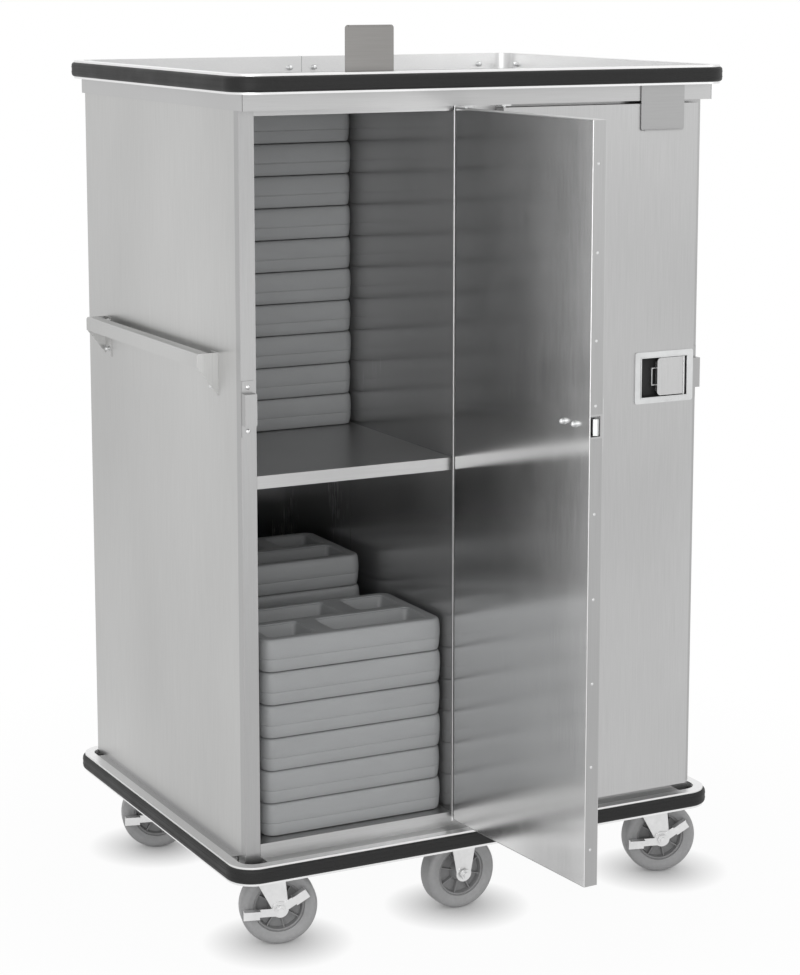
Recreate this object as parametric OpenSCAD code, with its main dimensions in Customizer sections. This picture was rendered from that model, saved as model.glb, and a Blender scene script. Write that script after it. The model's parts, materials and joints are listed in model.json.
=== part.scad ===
// Enclosed meal tray cart: a welded stainless cabinet with two tray compartments side by side,
// two overlay doors hung on a centre mullion, bumper rails round the top and the base, a push
// handle on each side and six casters. Millimetres. The floor is z = 0, the doors face -y, and
// x = 0, y = 0 is the middle of the cabinet. As photographed, the left door stands open with its
// lock plate raised, and the right door is closed with its lock plate lowered in front of it.

/* [Cabinet] */
// Width of the cabinet over its side panels
cab_w = 1008; // [960:1:1100]
// Depth of the cabinet from the posts' faces to the back panel
cab_d = 788; // [760:1:860]
// Height of the side panels, up to the header band
cab_h = 1415; // [1340:1:1480]
// Width of a front corner post
post_w = 31; // [28:1:36]
// Depth of a front corner post
post_d = 20; // [16:1:26]
// Distance between the two divider walls
core_w = 116; // [110:1:124]
// Thickness of the panel sheet
sheet = 1.5; // [1.2:0.1:2]
// Wall of the folded frame members
frame_t = 2; // [1.5:0.1:2.5]
// Hollow space behind the back liner
back_gap = 16; // [12:1:24]
// Height of the shelf's top above the side panels' bottom edge
shelf_h = 735; // [712:1:760]
// Depth of the folded front lip of the shelf and the floor pan
lip_h = 24.5; // [20:0.5:28]
// Height of the floor pan's top above the side panels' bottom edge
floor_h = 18.5; // [16:0.5:20]

/* [Header and roof] */
// Visible height of the header band
header_h = 31; // [27:1:36]
// How far the header band stands proud of the sides and the back
header_out = 5; // [4:0.5:7]
// Thickness of the roof deck
deck_t = 3; // [2:0.5:4]

/* [Doors] */
// Thickness of a door
door_t = 29; // [27:0.5:32]
// Overlap of a door on its outer post
door_lap = 5; // [3:0.5:5]
// Distance from the cart's middle to a door's hinged edge
door_in = 34.5; // [33:0.5:37]
// Gap between a door's top and the header band
door_top_gap = 6; // [4:0.5:8]
// Gap between the side panels' bottom edge and a door's bottom
door_low_gap = 6.5; // [4:0.5:9]
// Gap between a closed door and the posts
door_seat = 1.6; // [1.5:0.1:2.5]
// How far the left door stands open
left_open = 94; // [80:1:94]
// Distance from a door's hinged edge to its pivot
pivot_in = 7; // [6:0.25:7.25]
// Distance from a door's front face back to its pivot
pivot_back = 11; // [9:0.5:12]
// Radius of a pivot pin
pivot_pin_r = 4; // [3:0.25:4.5]
// Thickness of a pivot plate
pivot_t = 3; // [2.5:0.25:3.5]
// Reach of a pivot pin inside the door
pin_len = 14; // [10:1:24]

/* [Door latch] */
// Height of the latch's middle above the side panels' bottom edge
latch_h = 864; // [800:1:900]
// Width of the latch bezel
bezel_w = 137; // [130:1:141]
// Height of the latch bezel
bezel_h = 104; // [98:1:120]
// Thickness of the latch bezel
bezel_t = 2.5; // [2:0.25:3.5]
// Width of the latch cup
cup_w = 107; // [100:1:112]
// Height of the latch cup
cup_h = 79; // [70:1:86]
// Depth of the latch cup
cup_d = 16; // [14:0.5:16.5]
// Width of the paddle
paddle_w = 65; // [58:1:70]
// Thickness of the paddle
paddle_t = 3; // [2:0.25:3.5]
// Height of the bolt
bolt_h = 30; // [24:1:34]
// Thickness of the bolt
bolt_t = 8; // [7:0.5:9]
// How far the bolt stands out of the door's edge
bolt_out = 9; // [8:0.5:11]
// Height of the strike's box
strike_h = 60; // [50:1:64]
// Length of one foot of the strike
strike_foot = 23; // [20:1:28]
// How far the strike stands proud of its post
strike_out = 18; // [16:0.5:22]

/* [Lock plates] */
// Distance from the side of the cart to a lock plate's pivot
lock_inset = 181; // [175:1:190]
// Height of the pivot above the header band's underside
lock_up = 47; // [44:1:50]
// Width of the lock plate's blade
blade_w = 100; // [90:1:110]
// Reach of the blade from the pivot
blade_reach = 106; // [95:1:112]
// Sideways distance from the pivot to the blade
blade_off = 20; // [18:1:26]
// Thickness of a lock plate
lock_t = 2; // [1.5:0.25:2.5]
// Radius of the lock plate's pivot stud
stud_r = 5; // [4:0.5:6]

/* [Bumper rails] */
// Height of the rail section
rail_h = 37; // [34:1:40]
// Depth of the whole rail, with its bumper
rail_d = 25; // [23:0.5:28]
// Thickness of the rail's web
web_t = 3; // [2.5:0.25:4]
// Thickness of the rail's lips
lip_t = 4; // [3:0.25:5]
// How far the bumper stands out of the rail
bumper_out = 5; // [4:0.5:7]
// Radius of the bumper at the corners
rail_r = 55; // [45:1:70]
// Reach of the top rail in front of the posts
top_front = 65; // [64:1:72]
// Reach of the top rail beyond the sides and the back
top_side = 33; // [32:1:40]
// Reach of the base rail in front of the posts
base_front = 48; // [44:1:56]
// Reach of the base rail beyond the sides and the back
base_side = 38; // [36:1:44]
// Height of the base rail's top below the side panels' bottom edge
base_drop = 10.5; // [8:0.5:14]

/* [Base frame] */
// Height of the base frame's side members
frame_h = 38; // [34:1:42]
// Width of the base frame's flanges
flange_w = 25; // [20:1:28]
// Wall of the base frame
base_t = 3; // [2.5:0.25:4]
// Width of a cross member
cross_w = 112; // [108:1:130]
// Height of a cross member over the caster plates
cross_h = 19; // [16:1:22]
// Gap at each corner between the infill strips
corner_gap = 36; // [30:1:50]

/* [Handles] */
// Length of a handle over its end brackets
handle_len = 586; // [480:1:620]
// Distance from the cart's front to the handle's front end
handle_front = 105; // [90:1:140]
// Height of the handle's top above the side panels' bottom edge
handle_h = 957; // [900:1:1000]
// Reach of the handle from the side panel
handle_out = 43; // [40:1:60]
// Height of the handle bar's face
grip_h = 27; // [24:1:32]
// Depth of the handle bar's top
grip_d = 24; // [20:1:26]
// Height of an end bracket at the panel
bracket_h = 82; // [70:1:95]
// Width of an end bracket's wall flange
bracket_w = 31; // [28:1:36]
// Thickness of the handle's sheet
handle_t = 2.5; // [2:0.25:3]

/* [Casters] */
// Diameter of a wheel
wheel_d = 152.4; // [140:0.1:160]
// Width of a tyre
tyre_w = 42; // [38:1:44]
// Thickness of the tyre's tread
tread_t = 26; // [18:0.5:30]
// Radius of the tyre's shoulders
shoulder_r = 9; // [6:0.5:11]
// Number of spokes in a wheel
spokes = 8; // [5:1:10]
// Trail of a swivel caster
trail = 38; // [32:1:42]
// Heading of the swivel casters
caster_turn = -16; // [-40:1:40]
// Distance from the cabinet's side to a caster's pivot
caster_in_x = 62; // [60:1:80]
// Distance from the cabinet's front or back to a caster's pivot
caster_in_y = 80; // [78:1:110]
// Radius of an axle
axle_r = 6; // [5:0.5:7]
// Thickness of a fork leg
leg_t = 4; // [3:0.25:5]

/* [Meal trays] */
// Width of a meal tray
tray_w = 390; // [340:1:390]
// Depth of a meal tray
tray_d = 250; // [220:1:255]
// Height of a meal tray
tray_h = 65.2; // [55:0.1:66]
// Radius of a tray's corners
tray_r = 26; // [20:1:38]
// Depth of a tray's wells
well_d = 38; // [25:1:42]
// Width of a tray's small wells
well_w = 100; // [90:1:110]
// Width of the rib between a small and a large well
well_rib = 36; // [26:1:42]
// Width of the rib between the front and the rear wells
row_rib = 20; // [14:1:30]
// Width of a tray's rim round the wells
tray_rim = 22; // [18:1:28]
// Distance from the posts' faces to the front lower stack
front_stack_in = 22; // [16:1:40]
// Distance from the posts' faces to the rear lower stack
rear_stack_in = 340; // [330:1:360]
// Distance from the posts' faces to the upper stack
upper_stack_in = 415; // [200:1:440]

/* [Hidden] */

$fn = 48;

// clearances
weld = 0.1;       // joint line between two sheets of one weldment
run_fit = 0.08;   // a pin in its bore, on the radius
seat_gap = 0.3;   // two pieces that meet but move apart
play = 1.5;       // a piece that moves in a pocket
slide_gap = 0.4;  // a bolt beside the face that guides it
tray_gap = 0.4;   // between two stacked trays

// casters, from the floor up
axle_z = wheel_d / 2;
crown_z = wheel_d + 6;
crown_t = 5;
race_h = 22;
plate_t = 5;
caster_h = crown_z + crown_t + race_h + plate_t;
race_r = 31;
kingpin_r = 8;
plate_w = 100;
plate_d = 92;
hub_w = tyre_w + 6;
fork_w = 72;
leg_y = hub_w / 2 + 1;
boss_r = 8;
nut_r = 11;
brake_t = 3;

// levels
foot_z = caster_h + cross_h + base_t;    // the side panels' bottom edge
head_z = foot_z + cab_h;                 // underside of the header band
roof_z = head_z + header_h;              // underside of the roof deck
deck_z = roof_z + deck_t;                // top of the roof deck, which lies inside the top rail
top_rail_z = roof_z;                     // underside of the top rail
floor_z = foot_z + floor_h;
shelf_z = foot_z + shelf_h;
door_z0 = foot_z + door_low_gap;
door_z1 = head_z - door_top_gap;
open_z1 = door_z1 - 4.5;                 // top of the doorways
latch_z = foot_z + latch_h;
lock_z = head_z + lock_up;
base_rail_z = foot_z - base_drop - rail_h;

// plan
half_w = cab_w / 2;
front_y = -cab_d / 2;
rear_y = cab_d / 2;
bay_x0 = core_w / 2;                     // a compartment's inner wall
bay_x1 = half_w - post_w;                // a compartment's outer wall
bay_y1 = rear_y - back_gap;              // a compartment's back wall
door_x0 = door_in;
door_x1 = bay_x1 + door_lap;
door_y0 = front_y - door_seat - door_t;  // a closed door's front face
door_y1 = front_y - door_seat;           // a closed door's inner face
header_y = door_y0;                      // the header band is as proud as the doors
caster_x = half_w - caster_in_x;
caster_y = cab_d / 2 - caster_in_y;

// hinges: a pin in the door's top and bottom, inside its thickness
pivot_x = door_x0 + pivot_in;
pivot_y = door_y0 + pivot_back;
pivot_gap = 1.5;                         // under the door's bottom

// latch
bezel_x1 = door_x1 - 2.5;
cup_x1 = bezel_x1 - (bezel_w - cup_w) / 2;
cup_x0 = cup_x1 - cup_w;
cup_wall = 1.5;
cup_back_y = door_y0 + cup_d;
paddle_x = cup_x1 - play - 3;            // the paddle's pivot
paddle_y = door_y0 + paddle_t / 2 + 0.5;
pivot_r = 3;
bolt_y = cup_back_y + slide_gap + bolt_t / 2;
bolt_len = 39;
cap_nut_xs = [door_x1 - 44, door_x1 - 80];
strike_x0 = door_x1 + 1;
strike_x1 = half_w - 1;

// lock plates turn in the slot between the header band and the rail's web
lock_x = half_w - lock_inset;
lock_y = header_y - 1.5;                 // back face of the plate
arm_r = 14;
lock_tab = 46;                           // width of the tab that carries the stud
sweep_r = norm([blade_off + blade_w, blade_reach]) + 4;

// rails
top_w = cab_w + 2 * top_side;
top_d = cab_d + top_front + top_side;
top_cy = (top_side - top_front) / 2;
base_w = cab_w + 2 * base_side;
base_d = cab_d + base_front + base_side;
base_cy = (base_side - base_front) / 2;
frame_y0 = front_y + sheet + 0.3;        // front face of the base frame
web_y = front_y - top_front + rail_d;    // inner face of the top rail's front web

// trays: right edge, front face, foot and number of trays of each stack
beside = 4;                              // from the divider wall
behind = 2;                              // from the outer wall
front_stack = [-bay_x0 - beside, front_y + front_stack_in, floor_z, 6];
rear_stack = [-bay_x1 + behind + tray_w, front_y + rear_stack_in, floor_z, 7];
upper_stack = [-bay_x0 - beside, front_y + upper_stack_in, shelf_z, 10];

steel = [0.80, 0.80, 0.79];
satin = [0.72, 0.72, 0.71];
alloy = [0.85, 0.85, 0.85];
zinc = [0.90, 0.91, 0.91];
vinyl = [0.16, 0.16, 0.165];
rubber = [0.60, 0.60, 0.61];
core_grey = [0.42, 0.42, 0.44];
tray_grey = [0.47, 0.50, 0.52];

// ---------- helpers ----------

module block(lo, hi) {
  translate(lo) cube(hi - lo);
}

module on_side(side) {
  mirror([side < 0 ? 1 : 0, 0, 0]) children();
}

// a flat pattern in x and z, from y = 0 to y = t
module upright(t) {
  translate([0, t, 0]) rotate([90, 0, 0]) linear_extrude(t) children();
}

module rounded(w, d, r) {
  square([w - 2 * r, d], center = true);
  square([w, d - 2 * r], center = true);
  for (x = [-1, 1], y = [-1, 1])
    translate([x * (w / 2 - r), y * (d / 2 - r)]) circle(r);
}

// runs a section round a rectangle with rounded corners; the section's x axis is
// measured outwards from the corners' centres
module ring_sweep(w, d, r) {
  for (k = [0 : 3]) {
    along = k % 2 == 0 ? w : d;
    across = k % 2 == 0 ? d : w;
    rotate([0, 0, 90 * k]) {
      translate([along / 2 - r, 0, 0])
        rotate([90, 0, 0]) linear_extrude(across - 2 * r, center = true) children();
      translate([along / 2 - r, across / 2 - r, 0])
        rotate_extrude(angle = 90, $fn = 96) children();
    }
  }
}

module swing_left_door() {
  translate([-pivot_x, pivot_y, 0]) rotate([0, 0, left_open])
    translate([pivot_x, -pivot_y, 0]) children();
}

module at_caster(side, end) {
  translate([side * caster_x, end * caster_y, 0]) rotate([0, 0, caster_turn]) children();
}

// ---------- cabinet shell ----------

module side_panel() {
  y0 = front_y + post_d;
  translate([half_w, 0, foot_z]) linear_extrude(roof_z - foot_z) {
    translate([-sheet, y0]) square([sheet, rear_y - y0]);
    translate([-14, y0]) square([14, sheet]);
  }
}

module left_side_panel() {
  color(steel) on_side(-1) side_panel();
}

module right_side_panel() {
  color(steel) side_panel();
}

module back_panel() {
  color(steel) translate([0, 0, foot_z]) linear_extrude(roof_z - foot_z) {
    x1 = half_w - sheet;
    translate([-x1, rear_y - sheet]) square([2 * x1, sheet]);
    for (s = [-1, 1])
      translate([s * (x1 - sheet / 2) - sheet / 2, rear_y - 14]) square([sheet, 14]);
  }
}

// a channel that is open to the back
module channel(w, d, t) {
  square([w, t]);
  square([t, d]);
  translate([w - t, 0]) square([t, d]);
}

module front_posts() {
  color(satin) for (s = [-1, 1]) on_side(s)
    translate([bay_x1, front_y, foot_z]) linear_extrude(roof_z - foot_z)
      channel(post_w, post_d, frame_t);
}

module center_mullion() {
  w = core_w - 2 * sheet - 2.6;
  color(satin) translate([-w / 2, front_y, foot_z]) linear_extrude(roof_z - foot_z)
    channel(w, 2 * post_d, frame_t);
}

module lintels() {
  x0 = bay_x0 + 0.2;
  color(satin) for (s = [-1, 1]) on_side(s)
    translate([x0, front_y, open_z1]) rotate([90, 0, 90]) linear_extrude(bay_x1 - x0)
      channel(post_d, roof_z - open_z1, frame_t);
}

module header_band() {
  x1 = half_w + header_out;
  y1 = rear_y + header_out;
  color(steel) difference() {
    block([-x1, header_y, head_z], [x1, y1, roof_z]);
    block([-x1 + frame_t, header_y + frame_t, head_z + frame_t],
          [x1 - frame_t, y1 - frame_t, roof_z + 1]);
    block([-half_w, front_y, head_z - 1], [half_w, rear_y, roof_z + 1]);
  }
}

module roof_deck() {
  inset = rail_d + weld;
  color(steel) difference() {
    translate([0, top_cy, roof_z]) linear_extrude(deck_t)
      rounded(top_w - 2 * inset, top_d - 2 * inset, rail_r - inset);
    for (s = [-1, 1]) on_side(s) {
      // slot in which the lock plate turns, and the notch for its bracket
      block([lock_x - sweep_r, web_y - 1, roof_z - 1], [lock_x + sweep_r, header_y - 0.5, deck_z + 1]);
      block([lock_x - lock_tab / 2 - seat_gap, header_y - 1, roof_z - 1],
            [lock_x + lock_tab / 2 + seat_gap, header_y + 2 * frame_t + seat_gap, deck_z + 1]);
    }
  }
}

// ---------- compartments ----------

// divider wall with its hemmed edge, outer wall, back wall, ceiling and two shelf angles
module liner() {
  ceiling = open_z1 + sheet;
  block([bay_x0 - sheet, front_y + 4, foot_z], [bay_x0, bay_y1 + sheet, ceiling]);
  block([bay_x0 - sheet - 1.2, front_y, foot_z], [bay_x0 + 0.2, front_y + 4, ceiling]);
  block([bay_x1, front_y + post_d, foot_z], [bay_x1 + sheet, bay_y1 + sheet, ceiling]);
  block([bay_x0 + weld, bay_y1, foot_z], [bay_x1 - weld, bay_y1 + sheet, ceiling]);
  block([bay_x0 + weld, front_y + post_d, open_z1], [bay_x1 - weld, bay_y1 - weld, ceiling]);
  translate([bay_x0 + weld, 0, 0]) shelf_angle();
  translate([bay_x1 - weld, 0, 0]) mirror([1, 0, 0]) shelf_angle();
}

// bent angle along a compartment's wall, under the shelf
module shelf_angle() {
  leg = 18;
  t = 2;
  y1 = bay_y1 - 10;
  translate([0, y1, shelf_z - sheet]) rotate([90, 0, 0]) linear_extrude(y1 - front_y - 30) {
    translate([0, -t]) square([leg, t]);
    translate([0, -leg]) square([t, leg]);
  }
}

module left_liner() {
  color(satin) on_side(-1) liner();
}

module right_liner() {
  color(satin) liner();
}

// a folded pan: flat top, deep front lip with a return, shallow back flange
module pan(top_z, back_z) {
  x0 = bay_x0 + seat_gap;
  x1 = bay_x1 - seat_gap;
  y1 = bay_y1 - 0.2;
  block([x0, front_y, top_z - sheet], [x1, y1, top_z]);
  block([x0, front_y, top_z - lip_h], [x1, front_y + sheet, top_z]);
  block([x0, y1 - sheet, back_z], [x1, y1, top_z]);
}

module shelf() {
  pan(shelf_z, shelf_z - 16);
  block([bay_x0 + seat_gap, front_y, shelf_z - lip_h],
        [bay_x1 - seat_gap, front_y + 12, shelf_z - lip_h + sheet]);
}

module left_shelf() {
  color(satin) on_side(-1) shelf();
}

module right_shelf() {
  color(satin) shelf();
}

module floor_pans() {
  color(satin) for (s = [-1, 1]) on_side(s) {
    pan(floor_z, foot_z);
    for (x = [bay_x0 + seat_gap, bay_x1 - seat_gap - sheet])
      block([x, front_y + 4, foot_z], [x + sheet, bay_y1 - 0.2, floor_z]);
  }
}

// ---------- base ----------

// channel of the base frame: its back lies on y = 0, its ends are mitred
module frame_channel(len) {
  x = len / 2 - weld;
  translate([0, 0, foot_z - frame_h]) intersection() {
    linear_extrude(frame_h)
      polygon([[-x, 0], [x, 0], [x - flange_w, flange_w], [flange_w - x, flange_w]]);
    rotate([90, 0, 90]) linear_extrude(len, center = true) {
      square([base_t, frame_h]);
      square([flange_w, base_t]);
      translate([0, frame_h - base_t]) square([flange_w, base_t]);
    }
  }
}

module base_frame() {
  color(satin) {
    translate([0, frame_y0, 0]) frame_channel(cab_w);
    translate([0, rear_y, 0]) rotate([0, 0, 180]) frame_channel(cab_w);
    for (s = [-1, 1])
      translate([s * half_w, (frame_y0 + rear_y) / 2, 0]) rotate([0, 0, s * 90])
        frame_channel(rear_y - frame_y0);
  }
}

// channels over the casters, open at the top, between the frame's front and back
module cross_members() {
  y0 = frame_y0 + base_t + weld;
  y1 = rear_y - base_t - weld;
  wall = foot_z - base_t - weld - caster_h;
  color(satin) for (x = [-caster_x, 0, caster_x])
    translate([x - cross_w / 2, y1, caster_h]) rotate([90, 0, 0]) linear_extrude(y1 - y0) {
      square([cross_w, base_t]);
      square([base_t, wall]);
      translate([cross_w - base_t, 0]) square([base_t, wall]);
    }
}

// rail section: an outward-facing channel, x measured from the corners' centres
module rail_section() {
  x0 = rail_r - rail_d;
  depth = rail_d - bumper_out;
  translate([x0, 0]) square([web_t, rail_h]);
  translate([x0, 0]) square([depth, lip_t]);
  translate([x0, rail_h - lip_t]) square([depth, lip_t]);
}

// bumper section: fills the channel and bulges out between the lips
module bumper_section() {
  x0 = rail_r - rail_d + web_t;
  h = rail_h - 2 * lip_t;
  nose_r = 6;
  translate([x0, lip_t]) square([rail_r - nose_r - x0, h]);
  translate([x0, lip_t + nose_r]) square([rail_r - x0, h - 2 * nose_r]);
  for (z = [lip_t + nose_r, rail_h - lip_t - nose_r])
    translate([rail_r - nose_r, z]) circle(nose_r);
}

module top_rail() {
  color(alloy) translate([0, top_cy, top_rail_z]) ring_sweep(top_w, top_d, rail_r) rail_section();
}

module top_bumper() {
  color(vinyl) translate([0, top_cy, top_rail_z]) ring_sweep(top_w, top_d, rail_r) bumper_section();
}

module base_rail() {
  color(alloy) translate([0, base_cy, base_rail_z]) ring_sweep(base_w, base_d, rail_r) rail_section();
}

module base_bumper() {
  color(vinyl) translate([0, base_cy, base_rail_z])
    ring_sweep(base_w, base_d, rail_r) bumper_section();
}

// domed nuts on the inner face of the top rail: a pair at the joint and one by each corner
module dome_nut(r, h) {
  cylinder(h = 2, r = r * 1.3);
  cylinder(h = h - r / 2, r = r);
  translate([0, 0, h - r / 2]) intersection() {
    sphere(r);
    cylinder(h = r, r = r);
  }
}

module rail_bolts() {
  z = deck_z + 10;
  rear_web = rear_y + top_side - rail_d;
  side_web = half_w + top_side - rail_d;
  color(zinc) {
    for (x = [-half_w + 63, -29, 29, half_w - 63])
      translate([x, rear_web, z]) rotate([90, 0, 0]) dome_nut(5, 9);
    for (s = [-1, 1], y = [front_y + 90, rear_y - 45])
      translate([s * side_web, y, z]) rotate([0, -s * 90, 0]) dome_nut(5, 9);
  }
}

// strips that close the gap between the base frame and the rail's web on the straight runs
module infill_strip(len, gap) {
  leg = 16;
  top = base_rail_z + rail_h;
  block([-len / 2, -gap, top - sheet], [len / 2, 0, top]);
  block([-len / 2, -sheet, top - leg], [len / 2, 0, top]);
  block([-len / 2, -gap, top - leg], [len / 2, -gap + sheet, top]);
}

module base_infill() {
  side_gap = base_side - rail_d;
  color(satin) {
    translate([0, frame_y0, 0])
      infill_strip(cab_w - 2 * corner_gap, frame_y0 - front_y + base_front - rail_d);
    translate([0, rear_y, 0]) rotate([0, 0, 180]) infill_strip(cab_w - 2 * corner_gap, side_gap);
    for (s = [-1, 1])
      translate([s * half_w, 0, 0]) rotate([0, 0, s * 90])
        infill_strip(cab_d - 2 * corner_gap, side_gap);
  }
}

// ---------- handles ----------

// bent bar that is open behind, with a triangular bracket and a bolted flange at each end
module handle() {
  top = foot_z + handle_h;
  y0 = front_y + handle_front;
  y1 = y0 + handle_len;
  x0 = half_w;
  x1 = half_w + handle_out;
  bend = 5;
  hem = 7;
  translate([0, y1, top]) rotate([90, 0, 0]) linear_extrude(handle_len) {
    translate([x1 - handle_t, -grip_h]) square([handle_t, grip_h - bend]);
    translate([x1 - grip_d, -handle_t]) square([grip_d - bend, handle_t]);
    translate([x1 - grip_d, -hem]) square([handle_t, hem]);
    translate([x1 - hem, -grip_h]) square([hem, handle_t]);
    translate([x1 - bend, -bend]) intersection() {
      difference() {
        circle(bend);
        circle(bend - handle_t);
      }
      square(bend);
    }
  }
  for (k = [0, 1]) {
    y = k == 0 ? y0 : y1 - handle_t;
    flange_y = k == 0 ? y0 : y1 - bracket_w;
    translate([0, y, top]) upright(handle_t)
      polygon([[x0, 0], [x1 - bend, 0], [x1 - 1, -bend], [x1 - 1, -grip_h], [x0, -bracket_h]]);
    block([x0, flange_y, top - bracket_h], [x0 + handle_t, flange_y + bracket_w, top]);
  }
}

module left_handle() {
  color(steel) on_side(-1) handle();
}

module right_handle() {
  color(steel) handle();
}

module handle_bolts() {
  y0 = front_y + handle_front;
  top = foot_z + handle_h;
  color(zinc) for (s = [-1, 1], k = [0, 1], drop = [8, bracket_h - 16])
    translate([s * (half_w + handle_t), y0 + (k == 0 ? 20 : handle_len - 20), top - drop])
      rotate([0, s * 90, 0]) dome_nut(4, 6);
}

// ---------- strikes, lock brackets and hinge posts ----------

module strike() {
  z0 = latch_z - strike_h / 2;
  z1 = latch_z + strike_h / 2;
  y0 = front_y - strike_out;
  t = 2;
  block([strike_x0, y0, z0], [strike_x1, y0 + t, z1]);
  block([strike_x1 - t, y0, z0], [strike_x1, front_y, z1]);
  for (z = [z0, z1 - t])
    block([strike_x0, y0, z], [strike_x1, front_y, z + t]);
  for (z = [z0 - strike_foot, z1 - 1])
    difference() {
      block([strike_x0, front_y - t, z], [strike_x1, front_y, z + strike_foot + 1]);
      translate([(strike_x0 + strike_x1) / 2, front_y + 1, z + (strike_foot + 1) / 2])
        rotate([90, 0, 0]) cylinder(h = 2 * t + 2, r = 3);
    }
}

module strikes() {
  color(zinc) for (s = [-1, 1]) on_side(s) strike();
}

// tabs behind the header band's face that carry the pivot studs of the lock plates
module lock_brackets() {
  color(satin) for (s = [-1, 1]) on_side(s) {
    block([lock_x - lock_tab / 2, header_y + frame_t, head_z + frame_t],
          [lock_x + lock_tab / 2, header_y + 2 * frame_t, lock_z + 16]);
    translate([lock_x, header_y + 2 * frame_t, lock_z]) rotate([90, 0, 0])
      cylinder(h = 2 * frame_t + 1.5 + lock_t + 0.5, r = stud_r);
    translate([lock_x, lock_y - lock_t - 0.5, lock_z]) rotate([90, 0, 0]) cylinder(h = 3, r = stud_r + 3);
  }
}

// plates under the header band and at the mullion's foot, with the pins that carry the doors
module hinge_posts() {
  half = 10;
  foot = door_z0 - pivot_gap;
  color(zinc) for (s = [-1, 1]) on_side(s) {
    for (z = [head_z - pivot_t, foot - pivot_t])
      block([pivot_x - half, pivot_y - half, z], [pivot_x + half, front_y, z + pivot_t]);
    translate([pivot_x, pivot_y, door_z1 - pin_len])
      cylinder(h = head_z - pivot_t / 2 - door_z1 + pin_len, r = pivot_pin_r);
    translate([pivot_x, pivot_y, foot - pivot_t / 2])
      cylinder(h = pin_len + pivot_gap + pivot_t / 2, r = pivot_pin_r);
  }
}

// ---------- doors (drawn on the right, mirrored for the left) ----------

module door_skin() {
  edge_hole = bolt_h + 7;
  difference() {
    block([door_x0, door_y0, door_z0], [door_x1, door_y1, door_z1]);
    block([door_x0 + sheet, door_y0 + sheet, door_z0 + sheet], [door_x1 - sheet, door_y1 + 1, door_z1 - sheet]);
    // opening for the latch cup
    block([cup_x0 - cup_wall - seat_gap, door_y0 - 1, latch_z - cup_h / 2 - cup_wall - seat_gap],
          [cup_x1 + cup_wall + seat_gap, door_y0 + sheet + 1, latch_z + cup_h / 2 + cup_wall + seat_gap]);
    // holes in the top and the bottom for the pivot pins
    translate([pivot_x, pivot_y, door_z0 - 1])
      cylinder(h = door_z1 - door_z0 + 2, r = pivot_pin_r + seat_gap);
    // opening in the free edge for the bolt
    block([door_x1 - sheet - 1, door_y0 + 6, latch_z - edge_hole / 2],
          [door_x1 + 1, door_y1 - 2, latch_z + edge_hole / 2]);
  }
}

module door_liner() {
  t = sheet;
  difference() {
    block([door_x0 + sheet, door_y1 - t, door_z0 + sheet], [door_x1 - sheet, door_y1, door_z1 - sheet]);
    for (x = cap_nut_xs)
      translate([x, door_y1 + 1, latch_z]) rotate([90, 0, 0]) cylinder(h = t + 2, r = 3.5);
  }
}

// bored blocks in the door's hinged corners, which turn on the pivot pins
module door_hinges() {
  w = 18;
  x0 = door_x0 + sheet;
  for (z = [door_z0 + sheet, door_z1 - sheet - pin_len]) difference() {
    block([x0, door_y0 + sheet, z], [x0 + w, door_y1 - sheet, z + pin_len]);
    translate([pivot_x, pivot_y, z - 1]) cylinder(h = pin_len + 2, r = pivot_pin_r + run_fit);
  }
}

// bezel, recessed cup, studs and domed nuts that hold it through the door's liner
module latch_cup() {
  out = cup_wall;
  difference() {
    union() {
      translate([bezel_x1 - bezel_w / 2, door_y0 - bezel_t, latch_z]) upright(bezel_t) rounded(bezel_w, bezel_h, 5);
      block([cup_x0 - out, door_y0, latch_z - cup_h / 2 - out], [cup_x1 + out, cup_back_y, latch_z + cup_h / 2 + out]);
    }
    block([cup_x0, door_y0 - bezel_t - 1, latch_z - cup_h / 2], [cup_x1, cup_back_y - out, latch_z + cup_h / 2]);
  }
  for (x = cap_nut_xs) translate([x, 0, latch_z]) {
    translate([0, door_y1, 0]) rotate([90, 0, 0]) cylinder(h = door_y1 - cup_back_y, r = 3);
    translate([0, door_y1, 0]) rotate([-90, 0, 0]) dome_nut(5, 8);
  }
  // pivot pin of the paddle
  translate([paddle_x, paddle_y, latch_z - cup_h / 2]) cylinder(h = cup_h, r = pivot_r - 1.2);
}

// hinged along its outer side; fingers reach behind its free side
module paddle() {
  h = cup_h - 2 * play;
  x0 = paddle_x + 2 - paddle_w;
  r = 8;
  difference() {
    union() {
      translate([0, paddle_y - paddle_t / 2, latch_z]) upright(paddle_t) {
        translate([x0 + r, -h / 2]) square([paddle_x - x0 - r, h]);
        translate([x0, -h / 2 + r]) square([paddle_w - 2, h - 2 * r]);
        for (z = [-1, 1])
          translate([x0 + r, z * (h / 2 - r)]) circle(r);
      }
      translate([x0, paddle_y, latch_z - h / 2 + r]) cube([2, 7, h - 2 * r]);
      translate([paddle_x, paddle_y, latch_z - h / 2]) cylinder(h = h, r = pivot_r);
    }
    translate([paddle_x, paddle_y, latch_z - cup_h]) cylinder(h = 2 * cup_h, r = pivot_r - 1.2 + run_fit);
  }
}

// slides behind the cup and out through the door's edge; its tip is bevelled
module bolt() {
  x1 = door_x1 + bolt_out;
  x0 = x1 - bolt_len;
  bevel = 5;
  translate([0, bolt_y, latch_z - bolt_h / 2]) linear_extrude(bolt_h)
    polygon([[x0, -bolt_t / 2], [x1, -bolt_t / 2], [x1, bolt_t / 2 - bevel],
             [x1 - bevel, bolt_t / 2], [x0, bolt_t / 2]]);
}

module left_door_skin() {
  color(steel) swing_left_door() on_side(-1) door_skin();
}

module left_door_liner() {
  color(satin) swing_left_door() on_side(-1) door_liner();
}

module left_door_hinges() {
  color(zinc) swing_left_door() on_side(-1) door_hinges();
}

module left_latch_cup() {
  color(zinc) swing_left_door() on_side(-1) latch_cup();
}

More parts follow.
